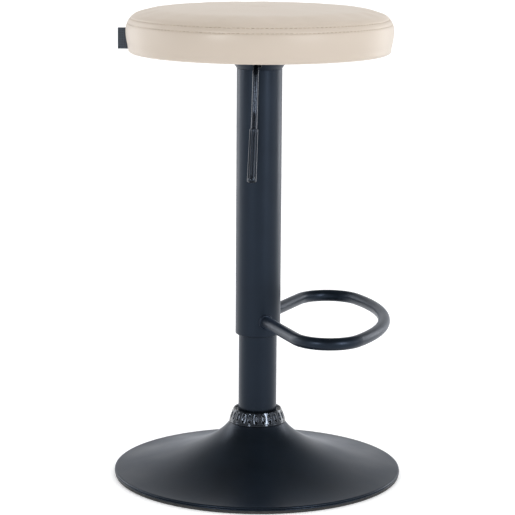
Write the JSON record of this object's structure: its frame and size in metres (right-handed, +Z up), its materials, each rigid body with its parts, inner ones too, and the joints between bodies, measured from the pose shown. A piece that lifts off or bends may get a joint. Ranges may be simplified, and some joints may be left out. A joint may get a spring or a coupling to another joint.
{
  "type": "swivel stool",
  "caption": "Round padded swivel stool on a trumpet base, with a gas-lift column, a D-shaped foot ring and a hanging release lever.",
  "frame": {"origin": "on the floor, on the column's axis, under the base's rim", "axes": "+Z up along the column; +X towards the front of the foot ring; the release lever hangs on the -Y side, a few degrees towards -X"},
  "size_m": [0.385, 0.385, 0.6275],
  "materials": {
    "powder_coated_steel": "matte",
    "lever_enamel": "satin",
    "gloss_black_abs": "gloss",
    "moulded_grip_plastic": "satin",
    "black_rubber": "matte",
    "bare_steel": "satin",
    "bearing_steel": "polished",
    "chromed_rod": "polished",
    "black_cylinder_paint": "satin",
    "zinc_plated_steel": "satin",
    "acetal": "satin",
    "plywood": "matte",
    "seat_foam": "matte",
    "faux_leather": "satin",
    "non_woven": "matte",
    "woven_label": "matte"
  },
  "bodies": {
    "base": {"trumpet_base": "powder_coated_steel", "floor_ring": "black_rubber", "base_socket": "bare_steel", "column_tube": "powder_coated_steel", "column_foot_plate": "bare_steel", "guide_bush": "acetal", "trim_collar": "gloss_black_abs", "bearing_race_lower": "bearing_steel"},
    "bearing": {"bearing_cage": "bearing_steel", "bearing_balls": "bearing_steel"},
    "spindle": {"bearing_race_upper": "bearing_steel", "piston_rod": "chromed_rod", "piston": "bare_steel", "piston_seal": "black_rubber", "bump_stop": "black_rubber", "foot_washer": "zinc_plated_steel", "retaining_clip": "zinc_plated_steel"},
    "seat": {"gas_cylinder": "black_cylinder_paint", "pressure_tube": "bare_steel", "rod_guide": "bare_steel", "rod_seal": "black_rubber", "valve_body": "bare_steel", "sleeve_tube": "powder_coated_steel", "sleeve_guide": "acetal", "foot_ring": "powder_coated_steel", "ring_welds": "powder_coated_steel", "seat_plate": "powder_coated_steel", "plate_hub": "bare_steel", "lever_bracket": "bare_steel", "lever_pin": "zinc_plated_steel", "seat_bolts": "zinc_plated_steel", "bolt_washers": "zinc_plated_steel", "t_nuts": "zinc_plated_steel", "seat_board": "plywood", "seat_foam": "seat_foam", "seat_cover": "faux_leather", "dust_cover": "non_woven", "cover_staples": "zinc_plated_steel", "side_tag": "woven_label"},
    "lever": {"lever_rod": "lever_enamel", "lever_grip": "moulded_grip_plastic"},
    "button": {"valve_button": "acetal"}
  },
  "joints": [
    {"name": "swivel", "type": "hinge", "parent": "base", "child": "spindle", "pos_m": [0, 0, 0.037], "axis": [0, 0, 1], "continuous": true},
    {"name": "bearing_turn", "type": "hinge", "parent": "base", "child": "bearing", "pos_m": [0, 0, 0.0325], "axis": [0, 0, 1], "continuous": true},
    {"name": "lift", "type": "slide", "parent": "spindle", "child": "seat", "axis": [0, 0, 1], "range_m": [0, 0.21]},
    {"name": "lever_pull", "type": "hinge", "parent": "seat", "child": "lever", "pos_m": [-0.00136, -0.02396, 0.55644], "axis": [-0.9984, 0.0567, 0], "range_deg": [0, 6], "stiffness_Nm_per_rad": 3, "springref_deg": -5.73},
    {"name": "button_press", "type": "slide", "parent": "seat", "child": "button", "axis": [0, 0, -1], "range_m": [0, 0.0027]}
  ],
  "couplings": [
    {"joint": "bearing_turn", "follows": "swivel", "ratio": 0.5},
    {"joint": "button_press", "follows": "lever_pull", "m_per_rad": 0.024}
  ]
}
